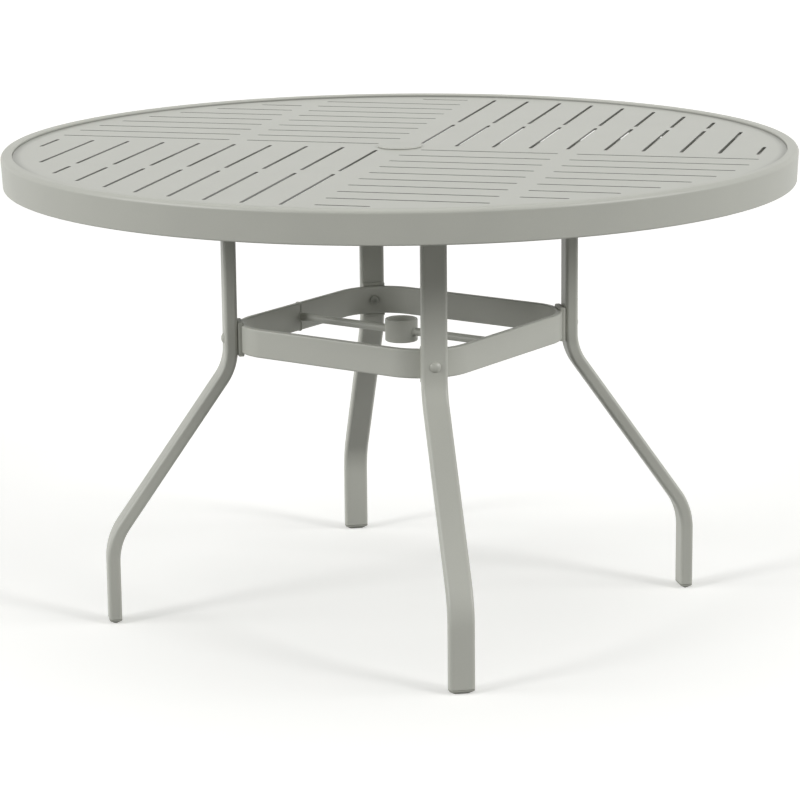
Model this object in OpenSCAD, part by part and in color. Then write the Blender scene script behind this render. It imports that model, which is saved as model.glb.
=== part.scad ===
// Round patio dining table: a slotted sheet top in a deep rim, on four bent tube legs
// that are held together by a rounded-square brace ring with an umbrella collar.
// Millimetres. Origin on the floor under the middle of the top, +Z up.
// The cross rods lie along X and the legs stand on the diagonals.

/* [Table top] */
// Outside diameter of the rim
top_d = 1219.2; // [1130:0.1:1500]
// Height of the rim's top above the floor
table_h = 736.6; // [680:0.1:800]
// Depth of the rim's outer wall
rim_h = 50.8; // [42:0.1:70]
// Width of the rim's flat top, from its outside to its inside
rim_w = 17.5; // [14:0.5:24]
// Wall thickness of the rim section
rim_wall = 2.2; // [1.5:0.1:3]
// How far the rim's outer wall leans in at its foot
rim_lean = 2; // [0:0.5:4]
// Radius of the rim's outer top edge
rim_round = 7; // [4:0.5:9]
// Radius of the rim's other edges
rim_edge = 2.5; // [2:0.5:4]
// Width of the ledge that carries the sheet
ledge_w = 12; // [8:1:20]
// Thickness of the ledge
ledge_t = 2.5; // [2:0.5:4]
// Step from the rim's top down to the sheet
sheet_drop = 4.5; // [3.5:0.5:12]
// Thickness of the sheet
sheet_t = 3.2; // [1.5:0.1:4]

/* [Slots] */
// Width of a slot
slot_w = 5.5; // [3:0.5:9]
// Distance from one row of slots to the next
slot_pitch = 58.2; // [45:0.1:70]
// Number of rows in each of the four fields
slot_rows = 10; // [4:1:10]
// Distance of the first row from the middle line
slot_first = 26; // [20:0.1:32]
// Distance from the middle line at which the rows start
slot_start = 20; // [16:1:30]
// The same distance for the first row, which stops short of the plug
slot_clear = 40; // [36:1:48]
// Blank border between the rim's outside and the ends of the rows
slot_border = 50.8; // [40:0.1:70]
// Distance from the middle line to the bridge that splits each row
bridge_from = 254; // [200:1:300]
// Length of the bridge
bridge_l = 28; // [15:1:40]
// Turn of the slot pattern against the cross rods
slot_turn = 20.3; // [0:0.1:90]

/* [Umbrella hole and plug] */
// Diameter of the hole in the sheet
hole_d = 48; // [44:0.5:52]
// Bore of the hub sleeve under the hole, which guides the pole
hub_bore_d = 44.5; // [40:0.5:45]
// Outside diameter of the hub sleeve
hub_d = 72; // [66:1:90]
// Height of the hub sleeve
hub_h = 30; // [26:1:40]
// Depth of the wider seat for the plug in the hub sleeve
hub_seat = 11; // [8:0.5:14]
// Diameter of the plug's cap
plug_d = 67; // [60:1:76]
// Thickness of the plug's cap
plug_t = 2.5; // [2:0.5:4]
// Length of the plug's skirt below its cap
plug_skirt = 12.5; // [8:0.5:16]
// Wall thickness of the plug's skirt
plug_wall = 2.4; // [1.6:0.2:3.2]

/* [Rails under the top] */
// Width of a rail
rail_w = 40; // [36:1:60]
// Depth of a rail
rail_h = 25; // [20:1:32]
// Wall thickness of a rail
rail_wall = 2; // [1.5:0.5:3]
// Radius of a rail's long edges
rail_edge = 3; // [2:0.5:5]

/* [Legs] */
// Width of the leg tube, across the leg
leg_w = 38.5; // [34:0.5:46]
// Thickness of the leg tube, towards the middle of the table
leg_t = 20; // [17:1:25]
// Wall thickness of the leg tube
leg_wall = 2; // [1.5:0.5:3]
// Radius of the leg tube's edges
leg_edge = 5.5; // [4:0.5:7]
// Distance from the table's axis to the middle of a leg's upper part
leg_top_r = 269; // [240:1:300]
// Distance from the table's axis to the middle of a leg's foot
leg_foot_r = 460; // [400:1:520]
// Height of the knee, where the lines of the upper part and the slope meet
knee_z = 403; // [390:1:405]
// Height of the ankle, where the lines of the slope and the foot meet
ankle_z = 132; // [100:1:170]
// Bend radius of the knee, on the middle of the tube
knee_r = 85; // [60:1:100]
// Bend radius of the ankle, on the middle of the tube
ankle_r = 100; // [60:1:140]
// Height of a glide's visible part, below the tube's end
glide_h = 8; // [8:0.5:12]
// Radius of a glide's lower edges
glide_round = 7.5; // [3:0.5:8]
// Length of a glide's stem in the tube
glide_stem = 22; // [12:1:30]
// Length of the plate on a leg's top
plate_l = 116; // [90:1:140]
// Thickness of that plate
plate_t = 4; // [3:0.5:6]
// Distance between the two screws of a plate
plate_screw_span = 84; // [66:1:110]

/* [Brace ring] */
// Height of the ring's middle above the floor
ring_z = 444.5; // [443:0.5:470]
// Height of the ring's section
ring_h = 44.5; // [40:0.5:48]
// Thickness of the ring's section
ring_t = 10; // [9:0.5:14]
// Wall thickness of the ring's section
ring_wall = 2; // [1.5:0.5:2.5]
// Radius of the section's edges
ring_edge = 3; // [2:0.5:4]
// Outside radius of the ring's corners, seen from above
ring_corner_r = 82; // [60:1:110]
// Thickness of a saddle between the leg and the ring
saddle_web = 4; // [3:0.5:8]
// Thickness of the saddle's lips over and under the ring
saddle_lip = 4.5; // [3:0.5:6]
// How far these lips reach inwards over the ring
saddle_reach = 6; // [4:0.5:9]
// Width of a saddle across the leg
saddle_w = 36; // [28:1:40]
// Radius of a saddle's edges
saddle_edge = 2.5; // [1:0.5:3]
// Width of the weld bead where the ring's ends meet
seam_w = 4; // [2:0.5:8]
// Height of that bead
seam_rise = 0.6; // [0.3:0.1:1.5]
// Diameter of the cross rods
rod_d = 12.7; // [8:0.1:16]
// Outside diameter of the umbrella collar
collar_d = 51; // [48:0.5:60]
// Bore of the umbrella collar
collar_bore_d = 42; // [38:0.5:44]
// Height of the umbrella collar
collar_h = 35; // [26:1:50]
// How far the collar's middle sits above the rods
collar_rise = 1; // [0:0.5:4]
// Radius of the collar's upper and lower edges
collar_edge = 1.8; // [0.5:0.1:1.9]

/* [Fasteners] */
// Diameter of the bolts through the legs and the ring
bolt_d = 8; // [6:0.5:8]
// Diameter of a bolt's domed head
bolt_head_d = 16.5; // [14:0.5:20]
// Height of that head
bolt_head_h = 4; // [2.5:0.5:5]
// Side of the square neck under the head
bolt_neck = 8; // [6:0.5:9]
// Diameter of a cap nut's flange
nut_d = 15.5; // [14:0.5:20]
// Thickness of that flange
nut_t = 3.5; // [2.5:0.5:5]
// Diameter of a cap nut's sleeve
nut_sleeve_d = 11; // [10:0.5:12.5]
// Size of a cap nut's hexagon socket, across its flats
nut_socket = 5; // [3:0.5:6]
// Diameter of the screws in the leg plates
screw_d = 6; // [5:0.5:8]
// Diameter of their heads
screw_head_d = 12; // [10:0.5:15]
// Height of their heads
screw_head_h = 4; // [3:0.5:5]
// Size of a screw's hexagon socket, across its flats
screw_socket = 4; // [3:0.5:5]
// Size of a weld nut, across its flats
weld_nut_w = 10; // [10:0.5:13]
// Height of a weld nut
weld_nut_h = 5; // [4:0.5:7]

/* [Clearances] */
// Gap round pieces that seat in or on each other
seat_gap = 0.3; // [0.2:0.05:0.4]
// Gap round the shank of a bolt or a screw
shank_gap = 0.3; // [0.2:0.05:0.5]
// Gap between a thread and the nut that it turns in
thread_gap = 0.15; // [0.1:0.05:0.2]

/* [Hidden] */
$fn = 96;
// Reach of a cut past the piece that it goes through
past = 1;
// Lap of a leg's slope into its two bends
lap = 0.5;
// How much slimmer the slope is on each side, so that its ends lie inside the bends' walls
slim = 0.02;
// Least flat that stays between two rounded edges
least_flat = 0.2;

// Directions of the front, right, back and left leg, counted from the front one
front = 0;
right = 1;
back = 2;
left = 3;
first_leg_angle = -45;

// Levels of the top
rim_r = top_d / 2;
rim_in_r = rim_r - rim_w;
rim_bottom = table_h - rim_h;
sheet_top = table_h - sheet_drop;
sheet_bottom = sheet_top - sheet_t;
rail_bottom = sheet_bottom - rail_h;
slot_reach = rim_r - slot_border;

// Course of a leg: the slope's angle, and where the straight parts end
slope_angle = atan2(leg_foot_r - leg_top_r, knee_z - ankle_z);
slope_length = norm([leg_foot_r - leg_top_r, knee_z - ankle_z]);
knee_cut = knee_r * tan(slope_angle / 2);
ankle_cut = ankle_r * tan(slope_angle / 2);
leg_top_z = rail_bottom - plate_t;
leg_inside_r = leg_top_r - leg_t / 2;
leg_outside_r = leg_top_r + leg_t / 2;

// Brace ring, seen from above: the middle of a corner, and the flat sides
ring_corner_x = leg_inside_r - saddle_web - ring_corner_r;
ring_side = ring_corner_x * cos(first_leg_angle) + ring_corner_r;
ring_straight = 2 * (ring_side - ring_corner_r);
ring_inside_r = ring_corner_x + ring_corner_r - ring_t;
ring_hollow_r = ring_corner_r - ring_t;
// A cap nut's flat flange stands off the hollow corner by this much in its middle
nut_stand = ring_hollow_r - sqrt(pow(ring_hollow_r, 2) - pow(nut_d / 2, 2));
nut_seat_r = ring_inside_r - nut_stand;

// Finishes
body_paint = [0.66, 0.67, 0.64];
sheet_paint = [0.75, 0.76, 0.73];
glide_grey = [0.55, 0.56, 0.53];
plug_grey = [0.74, 0.75, 0.72];
zinc = [0.72, 0.73, 0.75];

module rounded_rect(length, width, radius) {
  square([length, width - 2 * radius], center = true);
  square([length - 2 * radius, width], center = true);
  for (x = [-1, 1], y = [-1, 1])
    translate([x * (length / 2 - radius), y * (width / 2 - radius)])
      circle(r = radius);
}

module tube_section(length, width, radius, wall) {
  difference() {
    rounded_rect(length, width, radius);
    rounded_rect(length - 2 * wall, width - 2 * wall, max(radius - wall, 0.5));
  }
}

// Turns a child that is drawn towards +X to the place of one leg
module at_leg(which) {
  rotate([0, 0, first_leg_angle + 90 * which])
    children();
}

// Lays a child that is drawn up the Z axis along X, towards the table's axis
module inward_from(radius, height) {
  translate([radius, 0, height])
    rotate([0, -90, 0])
      children();
}

// Table top

// The rim's outline in the plane of radius and height
module rim_outline(inset) {
  round_r = rim_round - inset;
  edge_r = max(rim_edge - inset, 0.3);
  outside = rim_r - inset;
  inside = rim_in_r + inset;
  top = table_h - inset;
  bottom = rim_bottom + inset;
  foot = outside - rim_lean;
  polygon([
    [inside, top - edge_r], [inside, bottom + edge_r],
    [inside + edge_r, bottom], [foot - edge_r, bottom],
    [foot, bottom + edge_r], [outside, top - round_r],
    [outside - round_r, top - round_r], [outside - round_r, top],
    [inside + edge_r, top]
  ]);
  translate([outside - round_r, top - round_r])
    circle(r = round_r);
  translate([foot - edge_r, bottom + edge_r])
    circle(r = edge_r);
  for (z = [bottom + edge_r, top - edge_r])
    translate([inside + edge_r, z])
      circle(r = edge_r);
}

module rim() {
  color(body_paint)
    rotate_extrude() {
      difference() {
        rim_outline(0);
        rim_outline(rim_wall);
      }
      translate([rim_in_r - ledge_w, sheet_bottom - ledge_t])
        square([ledge_w + rim_wall / 2, ledge_t]);
    }
}

module slot(from, to, row) {
  half = slot_w / 2;
  translate([from + half, row - half])
    square([to - from - slot_w, slot_w]);
  for (x = [from + half, to - half])
    translate([x, row])
      circle(r = half);
}

// One field of the pinwheel: rows along X, each as long as the round border lets it be
module slot_field() {
  for (i = [0:slot_rows - 1]) {
    row = slot_first + i * slot_pitch;
    from = i == 0 ? slot_clear : slot_start;
    end = row < slot_reach ? sqrt(pow(slot_reach, 2) - pow(row, 2)) : 0;
    bridge_to = bridge_from + bridge_l;
    inner_end = min(end, bridge_from);
    if (inner_end > from + 2 * slot_w)
      slot(from, inner_end, -row);
    if (end > bridge_to + 2 * slot_w)
      slot(bridge_to, end, -row);
  }
}

module top_sheet() {
  color(sheet_paint)
    translate([0, 0, sheet_bottom])
      linear_extrude(sheet_t)
        difference() {
          circle(r = rim_in_r - seat_gap);
          circle(d = hole_d);
          for (quarter = [0:3])
            rotate(slot_turn + 90 * quarter)
              slot_field();
        }
}

module hole_plug() {
  cap_round = plug_t / 2;
  skirt_r = hole_d / 2 - seat_gap;
  color(plug_grey)
    translate([0, 0, sheet_top + seat_gap])
      rotate_extrude() {
        square([plug_d / 2 - cap_round, plug_t]);
        translate([plug_d / 2 - cap_round, 0])
          intersection() {
            translate([0, cap_round])
              circle(r = cap_round);
            square([plug_t, plug_t]);
          }
        translate([skirt_r - plug_wall, -plug_skirt])
          square([plug_wall, plug_skirt + plug_t / 2]);
      }
}

module hub_sleeve() {
  seat_z = hub_h - hub_seat;
  color(body_paint)
    translate([0, 0, sheet_bottom - hub_h])
      difference() {
        cylinder(d = hub_d, h = hub_h);
        translate([0, 0, -past])
          cylinder(d = hub_bore_d, h = hub_h + 2 * past);
        translate([0, 0, seat_z])
          cylinder(d = hole_d, h = hub_seat + past);
      }
}

module rail(which) {
  length = rim_in_r - seat_gap;
  color(body_paint)
    at_leg(which)
      difference() {
        intersection() {
          translate([0, 0, sheet_bottom - rail_h / 2])
            rotate([90, 0, 90])
              linear_extrude(length)
                tube_section(rail_w, rail_h, rail_edge, rail_wall);
          translate([0, 0, rail_bottom - past])
            cylinder(r = length, h = rail_h + 2 * past);
        }
        translate([0, 0, rail_bottom - past])
          cylinder(d = hub_d, h = rail_h + 2 * past);
        ledge_notch();
        for (side = [-1, 1])
          translate([leg_top_r + side * plate_screw_span / 2, 0, rail_bottom - past])
            cylinder(d = screw_d + 2 * shank_gap, h = rail_wall + 2 * past);
      }
}

// Room for the rim's ledge in the outer end of a rail
module ledge_notch() {
  depth = ledge_t + seat_gap;
  rotate_extrude()
    translate([rim_in_r - ledge_w - seat_gap, sheet_bottom - depth])
      square([ledge_w + seat_gap + past, depth + past]);
}

module front_rail() { rail(front); }
module right_rail() { rail(right); }
module back_rail() { rail(back); }
module left_rail() { rail(left); }

// Legs

module leg_section(less = 0) {
  tube_section(leg_t - 2 * less, leg_w - 2 * less, leg_edge - less, leg_wall - 2 * less);
}

// Part of a ring of the leg tube, bent inwards from the horizontal plane upwards
module leg_bend(radius) {
  translate([-radius, 0, 0])
    rotate([90, 0, 0])
      rotate_extrude(angle = slope_angle)
        translate([radius, 0])
          leg_section();
}

module leg_tube() {
  translate([leg_top_r, 0, knee_z + knee_cut]) {
    linear_extrude(leg_top_z - knee_z - knee_cut)
      leg_section();
    rotate([0, 180, 0])
      leg_bend(knee_r);
  }
  translate([leg_foot_r, 0, ankle_z]) {
    translate([0, 0, -ankle_cut]) {
      leg_bend(ankle_r);
      mirror([0, 0, 1])
        linear_extrude(ankle_z - ankle_cut - glide_h)
          leg_section();
    }
    rotate([0, -slope_angle, 0])
      translate([0, 0, ankle_cut - lap])
        linear_extrude(slope_length - knee_cut - ankle_cut + 2 * lap)
          leg_section(slim);
  }
}

module leg(which) {
  neck_hole = bolt_neck + 2 * shank_gap;
  color(body_paint)
    at_leg(which)
      difference() {
        leg_tube();
        inward_from(leg_top_r, ring_z)
          cylinder(d = bolt_d + 2 * shank_gap, h = leg_t / 2 + past);
        inward_from(leg_outside_r - leg_wall / 2, ring_z)
          cube([neck_hole, neck_hole, leg_wall + 2 * past], center = true);
      }
}

module front_leg() { leg(front); }
module right_leg() { leg(right); }
module back_leg() { leg(back); }
module left_leg() { leg(left); }

module leg_plate(which) {
  color(body_paint)
    at_leg(which)
      translate([leg_top_r, 0, leg_top_z])
        linear_extrude(plate_t)
          difference() {
            rounded_rect(plate_l, leg_w, leg_edge);
            for (side = [-1, 1])
              translate([side * plate_screw_span / 2, 0])
                circle(d = screw_d + 2 * shank_gap);
          }
}

module front_leg_plate() { leg_plate(front); }
module right_leg_plate() { leg_plate(right); }
module back_leg_plate() { leg_plate(back); }
module left_leg_plate() { leg_plate(left); }

// A rectangle with round lower corners, standing on y = 0
module round_bottomed(width, height, radius) {
  translate([-width / 2, radius])
    square([width, height - radius]);
  translate([radius - width / 2, 0])
    square([width - 2 * radius, radius + past / 2]);
  for (side = [-1, 1])
    translate([side * (width / 2 - radius), radius])
      circle(r = radius);
}

module glide(which) {
  inner_t = leg_t - 2 * leg_wall - 2 * seat_gap;
  inner_w = leg_w - 2 * leg_wall - 2 * seat_gap;
  color(glide_grey)
    at_leg(which)
      translate([leg_foot_r, 0, 0]) {
        intersection() {
          linear_extrude(glide_h)
            rounded_rect(leg_t, leg_w, leg_edge);
          rotate([90, 0, 0])
            linear_extrude(leg_w + 2 * past, center = true)
              round_bottomed(leg_t, glide_h, glide_round);
          rotate([90, 0, 90])
            linear_extrude(leg_t + 2 * past, center = true)
              round_bottomed(leg_w, glide_h, glide_round);
        }
        translate([0, 0, glide_h - past])
          linear_extrude(glide_stem + past)
            rounded_rect(inner_t, inner_w, leg_edge - leg_wall);
      }
}

module front_glide() { glide(front); }
module right_glide() { glide(right); }
module back_glide() { glide(back); }
module left_glide() { glide(left); }

// Brace

// Section of the ring, drawn at its place on a corner of the given middle radius
module ring_section(grow) {
  rounded_rect(ring_t + 2 * grow, ring_h + 2 * grow, ring_edge + grow);
}

module ring_hollow_section() {
  tube_section(ring_t, ring_h, ring_edge, ring_wall);
}

// Weld bead on the outer half of the ring's section, in the middle of its -X side
module ring_seam() {
  translate([ring_t / 2 - ring_side, 0, ring_z])
    rotate([90, 0, 0])
      linear_extrude(seam_w, center = true)
        intersection() {
          difference() {
            ring_section(seam_rise);
            ring_section(-ring_wall / 2);
          }
          translate([-ring_t, -ring_h])
            square([ring_t, 2 * ring_h]);
        }
}

module brace_ring() {
  corner_middle = ring_corner_r - ring_t / 2;
  color(body_paint)
    ring_seam();
  color(body_paint)
    difference() {
      translate([0, 0, ring_z])
        for (quarter = [0:3])
          rotate([0, 0, 90 * quarter]) {
            translate([ring_side - ring_t / 2, ring_straight / 2, 0])
              rotate([90, 0, 0])
                linear_extrude(ring_straight)
                  ring_hollow_section();
            translate([ring_straight / 2, ring_straight / 2, 0])
              rotate_extrude(angle = 90)
                translate([corner_middle, 0])
                  ring_hollow_section();
          }
      for (which = [0:3])
        at_leg(which) {
          inward_from(ring_inside_r + ring_t + past, ring_z)
            cylinder(d = bolt_d + 2 * shank_gap, h = ring_t + past);
          inward_from(ring_inside_r + ring_t / 2, ring_z)
            cylinder(d = nut_sleeve_d + 2 * shank_gap, h = ring_t / 2 + past);
        }
    }
}

// Half of the cross bar: from the ring's side, at angle 0 or 180, to the collar
module cross_rod(angle) {
  color(body_paint)
    rotate([0, 0, angle])
      difference() {
        inward_from(ring_side - ring_t, ring_z)
          cylinder(d = rod_d, h = ring_side - ring_t - collar_bore_d / 2);
        translate([0, 0, ring_z - rod_d])
          cylinder(d = collar_d, h = 2 * rod_d);
      }
}

module cross_rod_seam_side() { cross_rod(180); }
module cross_rod_far_side() { cross_rod(0); }

module umbrella_collar() {
  wall = (collar_d - collar_bore_d) / 2;
  color(body_paint)
    translate([0, 0, ring_z + collar_rise])
      rotate_extrude()
        translate([collar_d / 2 - wall / 2, 0])
          rounded_rect(wall, collar_h, min(collar_edge, (wall - least_flat) / 2));
}

// Cupped spacer: a block against the leg, hollowed to the ring's rounded corner
module saddle(which) {
  height = ring_h + 2 * saddle_lip;
  depth = saddle_web + saddle_reach;
  color(body_paint)
    at_leg(which)
      difference() {
        intersection() {
          translate([leg_inside_r - depth / 2, 0, ring_z - height / 2])
            linear_extrude(height)
              rounded_rect(depth, saddle_w, saddle_edge);
          translate([leg_inside_r - depth / 2, 0, ring_z])
            rotate([90, 0, 0])
              linear_extrude(saddle_w + 2 * past, center = true)
                rounded_rect(depth, height, saddle_edge);
        }
        translate([ring_corner_x, 0, ring_z]) {
          rotate_extrude()
            translate([ring_corner_r - ring_t / 2, 0])
              ring_section(seat_gap);
          cylinder(r = ring_corner_r - ring_t + seat_gap, h = height + past, center = true);
        }
        inward_from(leg_inside_r + past, ring_z)
          cylinder(d = bolt_d + 2 * shank_gap, h = depth);
      }
}

module front_saddle() { saddle(front); }
module right_saddle() { saddle(right); }
module back_saddle() { saddle(back); }
module left_saddle() { saddle(left); }

// Fasteners

// Domed head: a slice of a ball with its flat face on z = 0, drawn towards -Z
module dome(diameter, height) {
  ball_r = (pow(diameter / 2, 2) + pow(height, 2)) / (2 * height);
  rotate_extrude()
    intersection() {
      translate([0, ball_r - height])
        circle(r = ball_r);
      translate([0, -height])
        square([diameter / 2, height]);
    }
}

module ring_bolts() {
  reach = leg_outside_r - nut_seat_r - nut_t / 4;
  color(body_paint)
    for (which = [0:3])
      at_leg(which)
        inward_from(leg_outside_r, ring_z) {
          dome(bolt_head_d, bolt_head_h);
          translate([0, 0, leg_wall / 2])
            cube([bolt_neck, bolt_neck, leg_wall], center = true);
          cylinder(d = bolt_d, h = reach);
        }
}

module cap_nuts() {
  sleeve_l = nut_stand + ring_t - ring_wall - seat_gap;
  socket_depth = nut_t - nut_t / 3;
  color(body_paint)
    for (which = [0:3])
      at_leg(which)
        inward_from(nut_seat_r, ring_z)
          difference() {
            union() {
              translate([0, 0, nut_t])
                mirror([0, 0, 1])
                  nut_flange();
              translate([0, 0, -sleeve_l])
                cylinder(d = nut_sleeve_d, h = sleeve_l + nut_t / 4);
            }
            translate([0, 0, nut_t - socket_depth])
              cylinder(d = nut_socket / cos(30), h = socket_depth + past, $fn = 6);
            translate([0, 0, -sleeve_l - past])
              cylinder(d = bolt_d + 2 * thread_gap, h = sleeve_l + past + nut_t / 4);
          }
}

// Flange of a cap nut with a rounded rim, its outer face on z = 0
module nut_flange() {
  edge = nut_t / 3;
  rotate_extrude() {
    square([nut_d / 2 - edge, nut_t]);
    translate([0, edge])
      square([nut_d / 2, nut_t - edge]);
    translate([nut_d / 2 - edge, edge])
      circle(r = edge);
  }
}

module plate_screws() {
  length = plate_t + rail_wall + weld_nut_h;
  color(zinc)
    for (which = [0:3], side = [-1, 1])
      at_leg(which)
        translate([leg_top_r + side * plate_screw_span / 2, 0, leg_top_z]) {
          cylinder(d = screw_d, h = length);
          difference() {
            dome(screw_head_d, screw_head_h);
            translate([0, 0, -screw_head_h - past])
              cylinder(d = screw_socket / cos(30), h = screw_head_h / 2 + past, $fn = 6);
          }
        }
}

module weld_nuts() {
  color(zinc)
    for (which = [0:3], side = [-1, 1])
      at_leg(which)
        translate([leg_top_r + side * plate_screw_span / 2, 0, rail_bottom + rail_wall])
          difference() {
            cylinder(d = weld_nut_w / cos(30), h = weld_nut_h, $fn = 6);
            translate([0, 0, -past])
              cylinder(d = screw_d + 2 * thread_gap, h = weld_nut_h + 2 * past);
          }
}

rim();
top_sheet();
hole_plug();
hub_sleeve();
front_rail();
right_rail();
back_rail();
left_rail();
front_leg();
right_leg();
back_leg();
left_leg();
front_leg_plate();
right_leg_plate();
back_leg_plate();
left_leg_plate();
front_glide();
right_glide();
back_glide();
left_glide();
brace_ring();
cross_rod_seam_side();
cross_rod_far_side();
umbrella_collar();
front_saddle();
right_saddle();
back_saddle();
left_saddle();
ring_bolts();
cap_nuts();
plate_screws();
weld_nuts();
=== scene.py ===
import math
import bpy
import bmesh
from mathutils import Matrix, Vector
from mathutils.geometry import tessellate_polygon


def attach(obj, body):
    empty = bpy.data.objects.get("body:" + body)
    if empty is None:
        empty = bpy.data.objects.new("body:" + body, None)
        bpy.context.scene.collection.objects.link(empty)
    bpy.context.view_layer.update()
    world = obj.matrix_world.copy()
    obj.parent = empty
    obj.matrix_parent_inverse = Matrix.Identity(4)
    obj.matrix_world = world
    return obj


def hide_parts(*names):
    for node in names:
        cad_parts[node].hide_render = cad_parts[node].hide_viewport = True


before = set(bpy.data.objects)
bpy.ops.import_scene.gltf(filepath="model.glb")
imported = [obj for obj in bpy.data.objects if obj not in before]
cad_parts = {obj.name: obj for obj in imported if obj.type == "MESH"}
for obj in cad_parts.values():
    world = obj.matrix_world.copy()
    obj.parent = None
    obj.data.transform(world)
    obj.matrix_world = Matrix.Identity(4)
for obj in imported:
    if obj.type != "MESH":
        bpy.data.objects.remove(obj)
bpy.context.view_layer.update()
print("frame loaded:", len(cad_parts), "nodes")

mm = 0.001
legNames = ("front", "right", "back", "left")
firstLegAngle = math.radians(-45)
legAngles = [firstLegAngle + math.radians(90 * i) for i in range(4)]


# Helpers for nodes, meshes and Geometry Nodes

# An sRGB hex colour as the linear colour that a shader takes
def toLinear(hexText):
    def channel(text):
        c = int(text, 16) / 255
        return c / 12.92 if c <= 0.04045 else ((c + 0.055) / 1.055) ** 2.4
    return (channel(hexText[1:3]), channel(hexText[3:5]), channel(hexText[5:7]), 1.0)


# Settings are the node's own options or the values of its inputs, links are what feeds them
def addNode(tree, kind, settings=None, links=None):
    node = tree.nodes.new(kind)
    for key, value in (settings or {}).items():
        if isinstance(key, str) and hasattr(node, key):
            setattr(node, key, value)
        else:
            node.inputs[key].default_value = value
    for key, source in (links or {}).items():
        tree.links.new(source, node.inputs[key])
    return node


def newPiece(name, verts, faces):
    mesh = bpy.data.meshes.new(name)
    mesh.from_pydata(verts, [], faces)
    mesh.validate()
    piece = bpy.data.objects.new(name, mesh)
    bpy.context.scene.collection.objects.link(piece)
    return piece


# Merges doubled corners (distance in metres) and turns all faces outwards
def closeSeams(piece, distance=1e-6):
    work = bmesh.new()
    work.from_mesh(piece.data)
    bmesh.ops.remove_doubles(work, verts=work.verts, dist=distance)
    bmesh.ops.recalc_face_normals(work, faces=work.faces)
    work.to_mesh(piece.data)
    work.free()


# Smooth shading, with edges sharper than the angle (in degrees) kept crisp
def shadeSmooth(piece, sharpAngle=38):
    piece.data.polygons.foreach_set("use_smooth", [True] * len(piece.data.polygons))
    piece.data.set_sharp_from_angle(angle=math.radians(sharpAngle))
    piece.modifiers.new("flat faces stay flat", "WEIGHTED_NORMAL").keep_sharp = True


def finishPiece(piece, material, nodes=(), body="table"):
    piece.data.materials.clear()
    piece.data.materials.append(material)
    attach(piece, body)
    if nodes:
        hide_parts(*nodes)
    return piece


# Points along an arc, from one angle to another in degrees
def arc(centre, radius, start, end, steps):
    turns = [math.radians(start + (end - start) * i / steps) for i in range(steps + 1)]
    return [(centre[0] + radius * math.cos(a), centre[1] + radius * math.sin(a)) for a in turns]


# Turns a profile of (radius, height) points in mm about Z. A third value "hex" makes that
# ring a hexagon whose flats stand at the radius.
def lathe(name, profile, segments=96, closed=True):
    verts, rings = [], []
    for point in profile:
        radius, height = point[0], point[1]
        if radius == 0:
            rings.append([len(verts)] * segments)
            verts.append((0, 0, height * mm))
            continue
        ring = []
        for i in range(segments):
            a = 2 * math.pi * i / segments
            r = radius
            if len(point) > 2:
                r = radius / math.cos((a + math.pi / 6) % (math.pi / 3) - math.pi / 6)
            ring.append(len(verts))
            verts.append((r * math.cos(a) * mm, r * math.sin(a) * mm, height * mm))
        rings.append(ring)
    faces = []
    pairs = list(zip(rings, rings[1:] + rings[:1])) if closed else list(zip(rings, rings[1:]))
    for low, high in pairs:
        for i in range(segments):
            j = (i + 1) % segments
            corners = []
            for corner in (low[i], low[j], high[j], high[i]):
                if corner not in corners:
                    corners.append(corner)
            if len(corners) > 2:
                faces.append(corners)
    piece = newPiece(name, verts, faces)
    closeSeams(piece)
    return piece


# A CAD shape that is right as it is, with its loose triangles merged and shaded smooth
def smoothCopy(node, name, mergeDistance=1e-5, sharpAngle=30):
    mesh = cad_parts[node].data.copy()
    mesh.name = name
    piece = bpy.data.objects.new(name, mesh)
    bpy.context.scene.collection.objects.link(piece)
    closeSeams(piece, mergeDistance)
    shadeSmooth(piece, sharpAngle)
    return piece


# A Geometry Nodes tree with one named input for each size, and one for the finish
def startTree(name, sizes):
    tree = bpy.data.node_groups.new(name, "GeometryNodeTree")
    tree.interface.new_socket("Geometry", in_out="INPUT", socket_type="NodeSocketGeometry")
    for label in sizes:
        tree.interface.new_socket(label, in_out="INPUT", socket_type="NodeSocketFloat")
    tree.interface.new_socket("Finish", in_out="INPUT", socket_type="NodeSocketMaterial")
    tree.interface.new_socket("Geometry", in_out="OUTPUT", socket_type="NodeSocketGeometry")
    return tree, addNode(tree, "NodeGroupInput").outputs


def endTree(tree, inputs, geometry):
    real = addNode(tree, "GeometryNodeRealizeInstances", links={"Geometry": geometry})
    painted = addNode(tree, "GeometryNodeSetMaterial",
                      links={"Geometry": real.outputs[0], "Material": inputs["Finish"]})
    addNode(tree, "NodeGroupOutput", links={"Geometry": painted.outputs[0]})


# Runs a tree on a new object, or on a source that it uses up, and keeps the plain mesh
def runTree(name, tree, sizes, material, source=None):
    mesh = source.data if source else bpy.data.meshes.new(name)
    piece = bpy.data.objects.new(name, mesh)
    bpy.context.scene.collection.objects.link(piece)
    modifier = piece.modifiers.new("build", "NODES")
    modifier.node_group = tree
    sockets = {s.name: s.identifier for s in tree.interface.items_tree if s.in_out == "INPUT"}
    for label, value in sizes.items():
        modifier[sockets[label]] = value
    modifier[sockets["Finish"]] = material
    evaluated = piece.evaluated_get(bpy.context.evaluated_depsgraph_get())
    result = bpy.data.meshes.new_from_object(evaluated)
    piece.modifiers.remove(modifier)
    piece.data = result
    result.name = name
    if source:
        bpy.data.objects.remove(source)
    closeSeams(piece)
    return piece


# Materials. Object coordinates are in metres, so a grain of g mm is a scale of 1000 / g.
# Real orange peel is about 0.5 mm wide and would be lost in a picture of the whole table, so
# the grain is drawn two to three times as coarse.

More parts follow.
